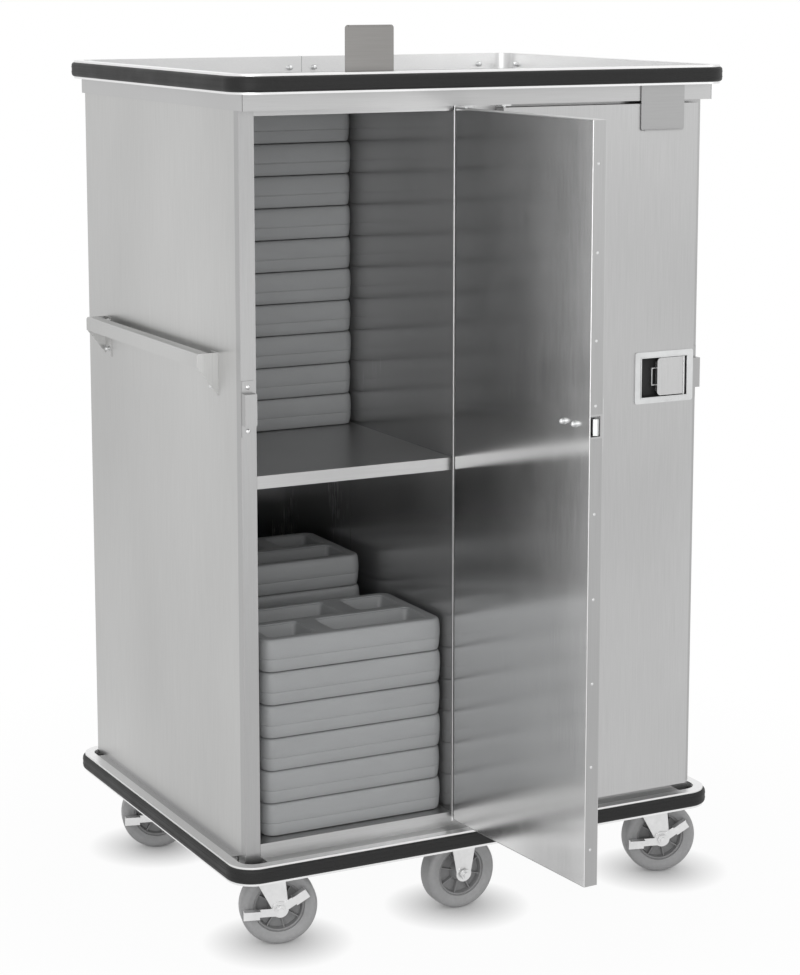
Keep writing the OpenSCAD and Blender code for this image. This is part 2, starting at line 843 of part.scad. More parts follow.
module left_paddle() {
  color(satin) swing_left_door() on_side(-1) paddle();
}

module left_bolt() {
  color(zinc) swing_left_door() on_side(-1) bolt();
}

module right_door_skin() {
  color(steel) door_skin();
}

module right_door_liner() {
  color(satin) door_liner();
}

module right_door_hinges() {
  color(zinc) door_hinges();
}

module right_latch_cup() {
  color(zinc) latch_cup();
}

module right_paddle() {
  color(satin) paddle();
}

module right_bolt() {
  color(zinc) bolt();
}

// ---------- lock plates ----------

// raised: an arm from the stud and a blade with a bent edge, to be flipped half a turn
module lock_plate() {
  corner = 6;
  bent = 4;
  x1 = -(blade_off + blade_w);
  translate([lock_x, lock_y - lock_t, lock_z]) {
    upright(lock_t) difference() {
      union() {
        circle(arm_r);
        translate([x1, -arm_r]) square([-x1, 2 * arm_r]);
        translate([x1, -arm_r]) square([blade_w, blade_reach - corner + arm_r]);
        translate([x1 + corner, 0]) square([blade_w - 2 * corner, blade_reach]);
        for (x = [x1 + corner, -blade_off - corner])
          translate([x, blade_reach - corner]) circle(corner);
      }
      circle(stud_r + run_fit);
    }
    block([x1 + corner, -bent, blade_reach - lock_t], [-blade_off - corner, 0.1, blade_reach]);
  }
}

module left_lock_plate() {
  color(satin) on_side(-1) lock_plate();
}

// lowered in front of the closed right door
module right_lock_plate() {
  color(satin) translate([lock_x, 0, lock_z]) rotate([0, 180, 0])
    translate([-lock_x, 0, -lock_z]) lock_plate();
}

// ---------- casters ----------

module bolt_ring(xs, ys, r) {
  for (x = xs, y = ys)
    translate([x, y]) circle(r);
}

module caster_plate(bored) {
  translate([0, 0, caster_h - plate_t]) linear_extrude(plate_t) difference() {
    rounded(plate_w, plate_d, 8);
    bolt_ring([-40, 40], [-36, 36], 4.5);
    if (bored) circle(kingpin_r + run_fit);
  }
  if (bored)
    translate([0, 0, crown_z + crown_t + race_h / 2 + seat_gap])
      linear_extrude(race_h / 2 - seat_gap) difference() {
        circle(race_r + 3);
        circle(kingpin_r + run_fit);
      }
}

module caster_plates() {
  color(zinc) {
    for (s = [-1, 1], e = [-1, 1])
      translate([s * caster_x, e * caster_y, 0]) caster_plate(true);
    for (e = [-1, 1])
      translate([0, e * caster_y, 0]) caster_plate(false);
  }
}

// one fork leg, from its root at the crown down to the axle's eye
module leg_pattern(root_x0, root_x1, root_z, eye_x) {
  eye_r = 17;
  translate([eye_x, axle_z]) circle(eye_r);
  polygon([[root_x0, root_z], [root_x1, root_z], [eye_x + eye_r - 0.5, axle_z + 3],
           [eye_x - eye_r + 0.5, axle_z + 3]]);
}

module axle(x) {
  end_y = leg_y + leg_t + seat_gap + brake_t + seat_gap;
  translate([x, 0, axle_z]) rotate([90, 0, 0]) {
    cylinder(h = 2 * leg_y, r = axle_r, center = true);
    for (k = [0, 1]) rotate([180 * k, 0, 0]) {
      translate([0, 0, leg_y + leg_t]) cylinder(h = end_y - leg_y - leg_t, r = boss_r);
      translate([0, 0, end_y]) cylinder(h = 6, r = nut_r, $fn = 6);
      translate([0, 0, end_y + 6]) cylinder(h = 4, r = axle_r);
    }
  }
}

module swivel_fork() {
  color(zinc) {
    translate([trail / 3, 0, crown_z]) linear_extrude(crown_t) rounded(fork_w, 2 * (leg_y + leg_t), 10);
    for (y = [-leg_y - leg_t, leg_y])
      translate([0, y, 0]) upright(leg_t)
        leg_pattern(trail / 3 - fork_w / 2 + 2, trail / 3 + fork_w / 2 - 2, crown_z + 1, trail);
    translate([0, 0, crown_z + crown_t]) cylinder(h = race_h / 2, r = race_r);
    translate([0, 0, crown_z + crown_t]) cylinder(h = race_h + plate_t - 0.5, r = kingpin_r);
    axle(trail);
  }
}

module rigid_forks() {
  top = caster_h - plate_t;
  color(zinc) for (e = [-1, 1]) translate([0, e * caster_y, 0]) {
    for (y = [-leg_y - leg_t, leg_y])
      translate([0, y, 0]) upright(leg_t) leg_pattern(-fork_w / 2, fork_w / 2, top, 0);
    translate([-fork_w / 2, -leg_y - leg_t, top - leg_t]) cube([fork_w, 2 * (leg_y + leg_t), leg_t]);
    axle(0);
  }
}

module front_left_fork() {
  at_caster(-1, -1) swivel_fork();
}

module front_right_fork() {
  at_caster(1, -1) swivel_fork();
}

module rear_left_fork() {
  at_caster(-1, 1) swivel_fork();
}

module rear_right_fork() {
  at_caster(1, 1) swivel_fork();
}

// tyre and spoked core, as two solids on one hub
module wheel() {
  rim_r = wheel_d / 2 - tread_t;
  rim_t = 6;
  rim_w = tyre_w - 6;
  hub_r = 16;
  web = 6;
  rotate([90, 0, 0]) {
    color(rubber) rotate_extrude($fn = 96) {
      side = tyre_w / 2 - shoulder_r;
      crown = wheel_d / 2 - shoulder_r;
      translate([rim_r, -tyre_w / 2]) square([crown - rim_r, tyre_w]);
      translate([rim_r, -side]) square([wheel_d / 2 - rim_r, 2 * side]);
      for (y = [-side, side])
        translate([crown, y]) circle(shoulder_r);
    }
    color(core_grey) difference() {
      union() {
        rotate_extrude($fn = 96) {
          translate([rim_r - rim_t, -rim_w / 2]) square([rim_t, rim_w]);
          translate([0, -web / 2]) square([rim_r - 1, web]);
          translate([0, -hub_w / 2]) square([hub_r, hub_w]);
        }
        for (k = [0 : spokes - 1])
          rotate([0, 0, 90 + k * 360 / spokes])
            translate([hub_r - 2, -2.5, -rim_w / 2 + 2]) cube([rim_r - rim_t - hub_r + 3, 5, rim_w - 4]);
      }
      cylinder(h = 2 * hub_w, r = axle_r + run_fit, center = true);
    }
  }
}

module swivel_wheel(side, end) {
  at_caster(side, end) translate([trail, 0, axle_z]) wheel();
}

module front_left_wheel() {
  swivel_wheel(-1, -1);
}

module front_right_wheel() {
  swivel_wheel(1, -1);
}

module rear_left_wheel() {
  swivel_wheel(-1, 1);
}

module rear_right_wheel() {
  swivel_wheel(1, 1);
}

module front_middle_wheel() {
  translate([0, -caster_y, axle_z]) wheel();
}

module rear_middle_wheel() {
  translate([0, caster_y, axle_z]) wheel();
}

// rocker on the axle's outer boss: one pedal sets the brake and the other frees it
module brake_rocker() {
  pedal_tilt = 32;
  foot = 12;
  y0 = leg_y + leg_t + seat_gap;
  color(zinc) translate([trail, -y0 - brake_t, axle_z]) {
    upright(brake_t) difference() {
      union() {
        circle(16);
        translate([-44, -13]) square([44, 16]);
        translate([-72, -18]) square([32, 21]);
        rotate([0, 0, pedal_tilt]) {
          translate([0, -9]) square([34, 17]);
          translate([32, -12]) square([30, 23]);
        }
      }
      circle(boss_r + run_fit);
    }
    block([-72, -foot, 0], [-40, brake_t, 3]);
    rotate([0, -pedal_tilt, 0]) block([32, -foot, 8], [62, brake_t, 11]);
  }
}

module front_left_brake() {
  at_caster(-1, -1) brake_rocker();
}

module front_right_brake() {
  at_caster(1, -1) brake_rocker();
}

module rear_left_brake() {
  at_caster(-1, 1) brake_rocker();
}

module rear_right_brake() {
  at_caster(1, 1) brake_rocker();
}

// ---------- meal trays ----------

// plan of the wells: a small and a large one in front, a large and a small one behind
module wells() {
  large_w = tray_w - 2 * tray_rim - well_w - well_rib;
  row_d = (tray_d - 2 * tray_rim - row_rib) / 2;
  r = 14;
  for (turn = [0, 180]) rotate([0, 0, turn]) {
    y = -(row_d + row_rib) / 2;
    translate([-tray_w / 2 + tray_rim + well_w / 2, y]) rounded(well_w, row_d, r);
    translate([tray_w / 2 - tray_rim - large_w / 2, y]) rounded(large_w, row_d, r);
  }
}

// the side bulges between the foot and the rim
module tray_side() {
  polygon([[0, 0], [tray_r - 4, 0], [tray_r, tray_h * 0.45], [tray_r - 2, tray_h - 9],
           [tray_r - 7, tray_h - tray_gap], [0, tray_h - tray_gap]]);
}

module tray() {
  difference() {
    union() {
      ring_sweep(tray_w, tray_d, tray_r) tray_side();
      translate([-tray_w / 2 + tray_r, -tray_d / 2 + tray_r, 0])
        cube([tray_w - 2 * tray_r, tray_d - 2 * tray_r, tray_h - tray_gap]);
    }
    translate([0, 0, tray_h - well_d]) linear_extrude(well_d) wells($fn = 8);
  }
}

module tray_stack(place) {
  color(tray_grey) for (k = [0 : place[3] - 1])
    translate([place[0] - tray_w / 2, place[1] + tray_d / 2, place[2] + k * tray_h]) tray();
}

module front_tray_stack() {
  tray_stack(front_stack);
}

module rear_tray_stack() {
  tray_stack(rear_stack);
}

module upper_tray_stack() {
  tray_stack(upper_stack);
}

left_side_panel();
right_side_panel();
back_panel();
front_posts();
center_mullion();
lintels();
header_band();
roof_deck();
top_rail();
top_bumper();
rail_bolts();
left_liner();
right_liner();
left_shelf();
right_shelf();
floor_pans();
base_frame();
cross_members();
base_rail();
base_bumper();
base_infill();
left_handle();
right_handle();
handle_bolts();
strikes();
lock_brackets();
hinge_posts();
caster_plates();
rigid_forks();
left_door_skin();
left_door_liner();
left_door_hinges();
left_latch_cup();
left_paddle();
left_bolt();
right_door_skin();
right_door_liner();
right_door_hinges();
right_latch_cup();
right_paddle();
right_bolt();
left_lock_plate();
right_lock_plate();
front_left_fork();
front_right_fork();
rear_left_fork();
rear_right_fork();
front_left_wheel();
front_right_wheel();
rear_left_wheel();
rear_right_wheel();
front_middle_wheel();
rear_middle_wheel();
front_left_brake();
front_right_brake();
rear_left_brake();
rear_right_brake();
front_tray_stack();
rear_tray_stack();
upper_tray_stack();
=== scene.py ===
"""Dressed view of an enclosed meal tray cart: materials, small parts, light and camera."""
import json
import math

import bmesh
import bpy
from mathutils import Matrix, Vector


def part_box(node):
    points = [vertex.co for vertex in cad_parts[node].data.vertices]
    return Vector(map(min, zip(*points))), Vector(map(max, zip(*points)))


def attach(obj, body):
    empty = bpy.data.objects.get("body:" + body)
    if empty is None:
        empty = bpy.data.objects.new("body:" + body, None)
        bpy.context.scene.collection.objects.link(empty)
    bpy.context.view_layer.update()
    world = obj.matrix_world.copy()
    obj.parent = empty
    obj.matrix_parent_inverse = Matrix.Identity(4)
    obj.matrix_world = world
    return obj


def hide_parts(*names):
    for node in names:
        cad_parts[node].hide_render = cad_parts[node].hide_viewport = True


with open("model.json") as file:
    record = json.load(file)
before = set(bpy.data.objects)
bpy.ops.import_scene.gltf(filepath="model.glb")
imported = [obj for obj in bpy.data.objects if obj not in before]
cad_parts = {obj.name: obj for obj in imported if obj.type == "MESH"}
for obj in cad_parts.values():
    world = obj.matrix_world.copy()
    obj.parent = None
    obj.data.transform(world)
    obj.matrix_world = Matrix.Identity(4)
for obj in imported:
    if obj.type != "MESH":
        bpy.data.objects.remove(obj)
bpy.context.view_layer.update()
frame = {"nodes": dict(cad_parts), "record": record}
MM = 0.001
TAU = 2 * math.pi


# ---------------------------------------------------------------- camera

# the photograph's viewpoint, fitted to the cabinet's edges
CAMERA_AT = (-2.374, -4.629, 1.875)
LOOK_DOWN_DEG, LOOK_ASIDE_DEG = 9.36, -27.47
LENS_MM, LENS_SHIFT = 93.5, -0.10


def make_camera():
    cam = bpy.data.cameras.new("camera")
    cam.sensor_width = 36.0
    cam.lens = LENS_MM
    cam.shift_y = LENS_SHIFT
    cam.clip_end = 200
    obj = bpy.data.objects.new("camera", cam)
    obj.location = CAMERA_AT
    obj.rotation_euler = (math.radians(90 - LOOK_DOWN_DEG), 0, math.radians(LOOK_ASIDE_DEG))
    bpy.context.scene.collection.objects.link(obj)
    bpy.context.scene.camera = obj


make_camera()


# ---------------------------------------------------------------- materials

class Graph:
    """A material's node tree with short calls for the nodes used here."""

    def __init__(self, name):
        self.mat = bpy.data.materials.new(name)
        self.mat.use_nodes = True
        self.tree = self.mat.node_tree
        self.shader = self.tree.nodes["Principled BSDF"]

    def node(self, kind, **inputs):
        n = self.tree.nodes.new(kind)
        for key, value in inputs.items():
            n.inputs[key.replace("_", " ")].default_value = value
        return n

    def link(self, a, b):
        self.tree.links.new(a, b)

    def set(self, **values):
        for key, value in values.items():
            self.shader.inputs[key.replace("_", " ")].default_value = value

    def coords(self, scale):
        tc = self.node("ShaderNodeTexCoord")
        mp = self.node("ShaderNodeMapping")
        mp.inputs["Scale"].default_value = scale
        self.link(tc.outputs["Object"], mp.inputs["Vector"])
        return mp.outputs["Vector"]

    def noise(self, scale, vector, detail=3.0, rough=0.55):
        n = self.node("ShaderNodeTexNoise", Scale=scale, Detail=detail, Roughness=rough)
        self.link(vector, n.inputs["Vector"])
        return n.outputs["Fac"]

    def spread(self, fac, lo, hi, low=0.3, high=0.7):
        n = self.node("ShaderNodeMapRange")
        for key, value in (("From Min", low), ("From Max", high), ("To Min", lo), ("To Max", hi)):
            n.inputs[key].default_value = value
        self.link(fac, n.inputs["Value"])
        return n.outputs["Result"]

    def blend(self, fac, a, b):
        n = self.node("ShaderNodeMix")
        n.data_type = "RGBA"
        self.link(fac, n.inputs[0])
        n.inputs[6].default_value = (*a, 1)
        n.inputs[7].default_value = (*b, 1)
        return n.outputs[2]

    def average(self, a, b, share=0.5):
        n = self.node("ShaderNodeMix")
        n.inputs[0].default_value = share
        self.link(a, n.inputs[2])
        self.link(b, n.inputs[3])
        return n.outputs[0]

    def maths(self, operation, a, b):
        n = self.node("ShaderNodeMath")
        n.operation = operation
        self.link(a, n.inputs[0])
        self.link(b, n.inputs[1])
        return n.outputs[0]

    def bump(self, fac, strength, depth):
        n = self.node("ShaderNodeBump", Strength=strength, Distance=depth)
        self.link(fac, n.inputs["Height"])
        self.link(n.outputs["Normal"], self.shader.inputs["Normal"])

    def tones(self, fac, dark, light, tint):
        """Base colour that wanders between two greys of one tint."""
        mixed = self.blend(self.spread(fac, 0, 1), grey(dark, tint), grey(light, tint))
        self.link(mixed, self.shader.inputs["Base Color"])

    def roughness(self, socket):
        self.link(socket, self.shader.inputs["Roughness"])


def grey(v, tint):
    return tuple(v * t for t in tint)


# noise scales that draw the grain of a sheet out along z, or along x
GRAIN_UP, GRAIN_ALONG = (220, 220, 3), (3, 220, 220)


def brushed(name, dark, light, rough, grain=GRAIN_UP, tint=(1, 1, 1), depth=0.00006,
            stretch=0.0):
    """Sheet metal with a fine grain along one axis, cloudy sheen and a few finger marks.

    A depth of 0 leaves the bump out; stretch draws the reflections out sideways.
    """
    g = Graph(name)
    g.set(Metallic=1.0, Anisotropic=stretch)
    fine = g.noise(3.2, g.coords(grain), 4.0, 0.6)
    cloud = g.noise(1.7, g.coords((1, 1, 0.6)), 2.0)
    marks = g.noise(9.0, g.coords((1, 1, 0.5)), 5.0, 0.7)
    g.tones(g.average(fine, cloud, 0.6), dark, light, tint)
    worn = g.average(g.average(fine, cloud), marks, 0.3)
    g.roughness(g.spread(worn, rough - 0.04, rough + 0.05))
    if depth:
        g.bump(fine, 0.25, depth)
    return g.mat


def cast(name, dark, light, rough, metal, tint=(1, 1, 1), size=160, depth=0.0001,
         shine=0.5):
    """Plated, moulded or rubber surface: an even colour with a fine skin and soft wear."""
    g = Graph(name)
    g.set(Metallic=metal, Specular_IOR_Level=shine)
    vec = g.coords((1, 1, 1))
    skin = g.noise(size, vec, 3.0)
    cloud = g.noise(14, vec, 3.0)
    g.tones(g.average(skin, cloud), dark, light, tint)
    g.roughness(g.spread(cloud, rough - 0.06, rough + 0.08))
    g.bump(skin, 0.3, depth)
    return g.mat


def speckled(name, dark, light, rough, tint):
    """Moulded tray plastic with fleck, faint flow marks and a pebbled skin."""
    g = Graph(name)
    vec = g.coords((1, 1, 1))
    fleck = g.noise(900, vec, 2.0)
    flow = g.noise(7, g.coords((1, 1, 3)), 3.0)
    g.tones(g.average(fleck, flow, 0.55), dark, light, tint)
    g.roughness(g.spread(flow, rough - 0.05, rough + 0.07))
    g.bump(fleck, 0.2, 0.00008)
    return g.mat


MATS = {
    "panel_steel": brushed("panel_steel", 0.43, 0.58, 0.36, tint=(1.0, 1.0, 0.99), stretch=0.5),
    # painted shade: a darker copy of panel_steel for the door skins
    "shaded_door_steel": brushed("shaded_door_steel", 0.40, 0.53, 0.36, stretch=0.5),
    "inner_steel": brushed("inner_steel", 0.48, 0.56, 0.25, depth=0, stretch=1.0),
    # painted light: a brighter, glossier copy of inner_steel for the door liners
    "lit_door_liner": brushed("lit_door_liner", 0.72, 0.82, 0.17, depth=0, stretch=1.0),
    "flat_steel": brushed("flat_steel", 0.42, 0.52, 0.34, grain=GRAIN_ALONG),
    # painted shade: a darker copy again, for the posts, the strikes and the doors' edge flanges
    "shaded_post_steel": brushed("shaded_post_steel", 0.36, 0.44, 0.36, stretch=0.5),
    "plate_steel": brushed("plate_steel", 0.33, 0.39, 0.34, grain=GRAIN_ALONG),
    # painted shade: a darker, warmer copy of plate_steel for the left lock plate alone
    "shaded_warm_steel": brushed("shaded_warm_steel", 0.25, 0.31, 0.34, grain=GRAIN_ALONG,
                          tint=(1.0, 0.975, 0.945)),
    "rail_aluminium": brushed("rail_aluminium", 0.74, 0.84, 0.33, grain=(60, 60, 200)),
    "bumper_vinyl": cast("bumper_vinyl", 0.016, 0.024, 0.50, 0.0, size=260, shine=0.25),
    "hardware_zinc": cast("hardware_zinc", 0.60, 0.70, 0.30, 1.0, tint=(0.99, 1.0, 1.0),
                          size=90, depth=0.00002),
    "bright_steel": cast("bright_steel", 0.66, 0.78, 0.18, 1.0, size=60, depth=0.00002),
    "caster_zinc": cast("caster_zinc", 0.66, 0.78, 0.36, 0.85, size=90, depth=0.00002),
    "wheel_rubber": cast("wheel_rubber", 0.34, 0.41, 0.45, 0.0, tint=(0.99, 0.99, 1.0)),
    "wheel_core": cast("wheel_core", 0.24, 0.30, 0.38, 0.0, tint=(0.99, 0.99, 1.0)),
    "tray_plastic": speckled("tray_plastic", 0.31, 0.36, 0.44, (0.98, 1.0, 1.015)),
    # near-black for joint lines, and painted shade in the latch cups and at the base's corners
    "dark_joint_and_shade": cast("dark_joint_and_shade", 0.01, 0.02, 0.7, 0.0),
}
SLOT_OF = {s["node"]: s["material_slot"] for s in frame["record"]["subparts"]}
# sheets whose grain runs along x
GRAIN_ACROSS = ("header_band", "roof_deck", "lintels", "left_shelf", "right_shelf", "floor_pans",
                "base_frame", "cross_members", "base_infill")
CASTER_PARTS = ("fork", "forks", "brake")
# nodes whose tone in the photograph isn't that of their slot; the darker steels on the doors,
# posts, strikes and left lock plate paint in shade, the brighter one on the door liners paints in
# light
FINISH = {
    "strikes": "shaded_post_steel", "front_posts": "shaded_post_steel",
    "left_lock_plate": "shaded_warm_steel", "right_lock_plate": "plate_steel",
    "left_door_skin": "shaded_door_steel", "right_door_skin": "shaded_door_steel",
    "left_door_liner": "lit_door_liner", "right_door_liner": "lit_door_liner",
}
EDGE_W, EDGE_DEG = 0.45 * MM, 40


def finish_of(name):
    """Name of the material that a CAD node wears."""
    if name in FINISH:
        return FINISH[name]
    if name.split("_")[-1] in CASTER_PARTS:
        return "caster_zinc"
    return "flat_steel" if name in GRAIN_ACROSS else SLOT_OF[name]


for name, obj in frame["nodes"].items():
    finish = MATS[finish_of(name)]
    for slot in obj.material_slots:
        slot.material = finish
    if not obj.material_slots:
        obj.data.materials.append(finish)
    edge = obj.modifiers.new("soft_edges", "BEVEL")
    edge.width = EDGE_W
    edge.segments = 2
    edge.limit_method = "ANGLE"
    edge.angle_limit = math.radians(EDGE_DEG)
    edge.harden_normals = True


# ---------------------------------------------------------------- mesh helpers

def in_mm(points):
    return [(r * MM, h * MM) for r, h in points]


def finish_piece(name, bm, body, material, smooth=35, bevel=0.0):
    """Turns a bmesh into a piece that rides on a body; edges over smooth degrees stay sharp."""
    bmesh.ops.recalc_face_normals(bm, faces=bm.faces)
    mesh = bpy.data.meshes.new(name)
    bm.to_mesh(mesh)
    bm.free()
    mesh.shade_smooth()
    mesh.set_sharp_from_angle(angle=math.radians(smooth))
    mesh.materials.append(MATS[material])
    obj = bpy.data.objects.new(name, mesh)
    bpy.context.scene.collection.objects.link(obj)
    if bevel:
        mod = obj.modifiers.new("edge", "BEVEL")
        mod.width = bevel
        mod.segments = 2
        mod.limit_method = "ANGLE"
        mod.angle_limit = math.radians(35)
    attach(obj, body)
    return obj


def add_box(bm, lo, hi, at=Matrix()):
    corners = [bm.verts.new(at @ Vector((x, y, z)))
               for z in (lo[2], hi[2]) for y in (lo[1], hi[1]) for x in (lo[0], hi[0])]
    for quad in ((0, 2, 3, 1), (4, 5, 7, 6), (0, 1, 5, 4), (2, 6, 7, 3), (0, 4, 6, 2),
                 (1, 3, 7, 5)):
        bm.faces.new([corners[i] for i in quad])


def add_lathe(bm, profile, at=Matrix(), steps=48):
    """Spins (radius, height) points about z; a point on the axis closes the shape."""
    rings = []
    for r, h in profile:
        if r < 1e-7:
            rings.append([bm.verts.new(at @ Vector((0, 0, h)))])
        else:
            rings.append([bm.verts.new(at @ Vector((r * math.cos(TAU * k / steps),
                                                   r * math.sin(TAU * k / steps), h)))
                          for k in range(steps)])
    for a, b in zip(rings, rings[1:]):
        for k in range(steps):
            j = (k + 1) % steps
            if len(a) == 1 and len(b) == 1:
                continue
            if len(a) == 1:
                bm.faces.new((a[0], b[j], b[k]))
            elif len(b) == 1:
                bm.faces.new((a[k], a[j], b[0]))
            else:
                bm.faces.new((a[k], a[j], b[j], b[k]))


def rounded_ring(w, d, r, per_corner=7):
    """Points round a rectangle with rounded corners, anticlockwise."""
    pts = []
    for k, (sx, sy) in enumerate(((1, 1), (-1, 1), (-1, -1), (1, -1))):
        for i in range(per_corner + 1):
            a = math.pi / 2 * (k + i / per_corner)
            pts.append((sx * (w / 2 - r) + r * math.cos(a), sy * (d / 2 - r) + r * math.sin(a)))
    return pts


def join_loops(bm, loops):
    """Walls between each loop of vertices and the next."""
    for a, b in zip(loops, loops[1:]):
        n = len(a)
        for k in range(n):
            bm.faces.new((a[k], a[(k + 1) % n], b[(k + 1) % n], b[k]))


def add_loft(bm, rings, at=Matrix()):
    """Closed solid through rings of (points, z)."""
    loops = [[bm.verts.new(at @ Vector((x, y, z))) for x, y in pts] for pts, z in rings]
    join_loops(bm, loops)
    bm.faces.new(list(reversed(loops[0])))
    bm.faces.new(loops[-1])


def add_hoop(bm, box, r, z, height, proud):
    """A rounded bead round the outside of a rounded rectangle."""
    lo, hi = box
    at = Matrix.Translation(((lo.x + hi.x) / 2, (lo.y + hi.y) / 2, z))
    sunk = -0.5 * MM
    loops = []
    for out, h in ((sunk, -height / 2), (0.6 * proud, -height / 2), (proud, -height / 4),
                   (proud, height / 4), (0.6 * proud, height / 2), (sunk, height / 2)):
        pts = rounded_ring(hi.x - lo.x + 2 * out, hi.y - lo.y + 2 * out, r + out, 10)
        loops.append([bm.verts.new(at @ Vector((x, y, h))) for x, y in pts])
    join_loops(bm, loops + loops[:1])


def turned(axis_from, axis_to, at):
    """Matrix that stands a z-aligned shape along another direction at a point."""
    rot = Vector(axis_from).rotation_difference(Vector(axis_to)).to_matrix().to_4x4()
    return Matrix.Translation(Vector(at)) @ rot


# ---------------------------------------------------------------- places taken from the frame

def joint(name):
    return next(j for j in frame["record"]["behaviour"]["joints"] if j["name"] == name)


def node_box(name):
    """Lowest and highest corner of a CAD node at rest."""
    return tuple(Vector(v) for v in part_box(name))


DOOR_LO, DOOR_HI = node_box("right_door_skin")
HINGE = Vector(joint("left_door_hinge")["pos_m"])
LEFT_OPEN = math.radians(-joint("left_door_hinge")["range_deg"][0])
MIRROR = Matrix.Scale(-1, 4, (1, 0, 0))
# carries what fits the closed right door to the open left one
TO_LEFT = (Matrix.Translation((HINGE.x, HINGE.y, 0)) @ Matrix.Rotation(LEFT_OPEN, 4, "Z")
           @ Matrix.Translation((-HINGE.x, -HINGE.y, 0)) @ MIRROR)
DOORS = (("right", Matrix()), ("left", TO_LEFT))
CUP_LO, CUP_HI = node_box("right_latch_cup")
PADDLE_LO = node_box("right_paddle")[0]
LATCH_Z = (CUP_LO.z + CUP_HI.z) / 2
# mouth of the latch cup inside its bezel, and the cup's floor
MOUTH_X1 = CUP_HI.x - 15 * MM
MOUTH_X0 = MOUTH_X1 - 107 * MM
MOUTH_HALF = 39.5 * MM
CUP_FLOOR = CUP_LO.y + 2.5 * MM + 14.5 * MM
POST_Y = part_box("front_posts")[0][1]
BODY_LO = Vector((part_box("left_side_panel")[0][0], POST_Y, 0))
RAIL_R = 55 * MM     # corner radius of the rails and bumpers


# ---------------------------------------------------------------- meal trays

TRAY_H, TRAY_TOP, TRAY_R = 65.2 * MM, 64.8 * MM, 26 * MM
# a tray's side in mm, (outward, up): foot, parting groove, bulge and rolled rim
TRAY_PROFILE = ((-10, 0.9), (-4.8, 1.4), (-3.2, 3.4), (-1.5, 13), (-0.7, 25.4), (-1.5, 26),
                (-1.5, 26.8), (-0.4, 27.4), (0, 37), (-0.6, 50), (-1.6, 57.5), (-3.2, 62),
                (-5.2, 64.1), (-8, 64.7), (-12, 64.8))
RIM, RIB, ROW_RIB, SMALL_WELL = 22 * MM, 36 * MM, 20 * MM, 100 * MM
WELL_FLOOR = 27 * MM
# a well from floor to mouth: growth of its outline and corner radius in mm, and its height
WELL_RINGS = ((-24, 7, WELL_FLOOR), (-18, 9, WELL_FLOOR + 3 * MM),
              (-8, 10, TRAY_TOP - 4.6 * MM), (-6, 10, TRAY_TOP - 2.4 * MM),
              (-1, 12, TRAY_TOP - 1.8 * MM), (1, 13, TRAY_TOP + 1 * MM))
# small offsets in mm, so that the trays of a pile don't line up perfectly
JITTER = ((0, 0), (1.1, -0.8), (-1.4, 0.6), (0.7, 1.0), (-0.8, -1.2), (1.3, 0.4), (-1.0, 0.9),
          (0.5, -1.0), (-0.6, 0.7), (0.9, -0.5))
JITTER_X = 0.7     # share of an offset that is used sideways


def scratch_object(name, bm):
    """A helper object that is deleted again after use."""
    bmesh.ops.recalc_face_normals(bm, faces=bm.faces)
    mesh = bpy.data.meshes.new(name)
    bm.to_mesh(mesh)
    bm.free()
    obj = bpy.data.objects.new(name, mesh)
    bpy.context.scene.collection.objects.link(obj)
    return obj


def tray_mesh(w, d):
    """One tray: bulged sides, a parting groove, a rolled rim and four sloped wells."""
    bm = bmesh.new()
    rings = []
    for out, z in TRAY_PROFILE:
        grow = out * MM
        rings.append((rounded_ring(w + 2 * grow, d + 2 * grow, TRAY_R + grow), z * MM))
    add_loft(bm, rings)
    tray = scratch_object("tray_blank", bm)
    large = w - 2 * RIM - RIB - SMALL_WELL
    row = (d - 2 * RIM - ROW_RIB) / 2
    spots = ((-w / 2 + RIM + SMALL_WELL / 2, SMALL_WELL), (w / 2 - RIM - large / 2, large))
    cutters = bmesh.new()
    # the front row of wells, then the same row turned half round for the rear
    for turn in (0, math.pi):
        rot = Matrix.Rotation(turn, 4, "Z")
        for cx, cw in spots:
            rings = [(rounded_ring(cw + grow * MM, row + grow * MM, r * MM, 5), z)
                     for grow, r, z in WELL_RINGS]
            add_loft(cutters, rings, rot @ Matrix.Translation((cx, -(row + ROW_RIB) / 2, 0)))
    wells = scratch_object("wells", cutters)
    cut = tray.modifiers.new("wells", "BOOLEAN")
    cut.operation = "DIFFERENCE"
    cut.solver = "EXACT"
    cut.object = wells
    soft = tray.modifiers.new("soft", "BEVEL")
    soft.width = 1.1 * MM
    soft.segments = 2
    soft.limit_method = "ANGLE"
    soft.angle_limit = math.radians(38)
    graph = bpy.context.evaluated_depsgraph_get()
    done = bpy.data.meshes.new_from_object(tray.evaluated_get(graph))
    for obj in (tray, wells):
        bpy.data.objects.remove(obj)
    return done


def tray_pile(which, tray):
    """One stack of trays, in place of the plain CAD stack."""
    lo, hi = node_box(which + "_tray_stack")
    bm = bmesh.new()
    for k in range(round((hi.z - lo.z) / TRAY_H)):
        part = bmesh.new()
        part.from_mesh(tray)
        dx, dy = JITTER[(k * 3 + len(which)) % len(JITTER)]
        part.transform(Matrix.Translation(((lo.x + hi.x) / 2 + dx * MM * JITTER_X,
                                           (lo.y + hi.y) / 2 + dy * MM, lo.z + k * TRAY_H)))
        placed = bpy.data.meshes.new("part")
        part.to_mesh(placed)
        part.free()
        bm.from_mesh(placed)
    pile = finish_piece(which + "_trays", bm, which + "_trays", "tray_plastic",
                        50)
    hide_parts(which + "_tray_stack")


stack_lo, stack_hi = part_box("front_tray_stack")
TRAY = tray_mesh(stack_hi[0] - stack_lo[0], stack_hi[1] - stack_lo[1])
for which in ("front", "rear", "upper"):
    tray_pile(which, TRAY)


# ---------------------------------------------------------------- wheels

# all in mm
TYRE_R, TYRE_HALF, TYRE_BORE, SHOULDER = 76.2, 21.0, 50.2, 9.5
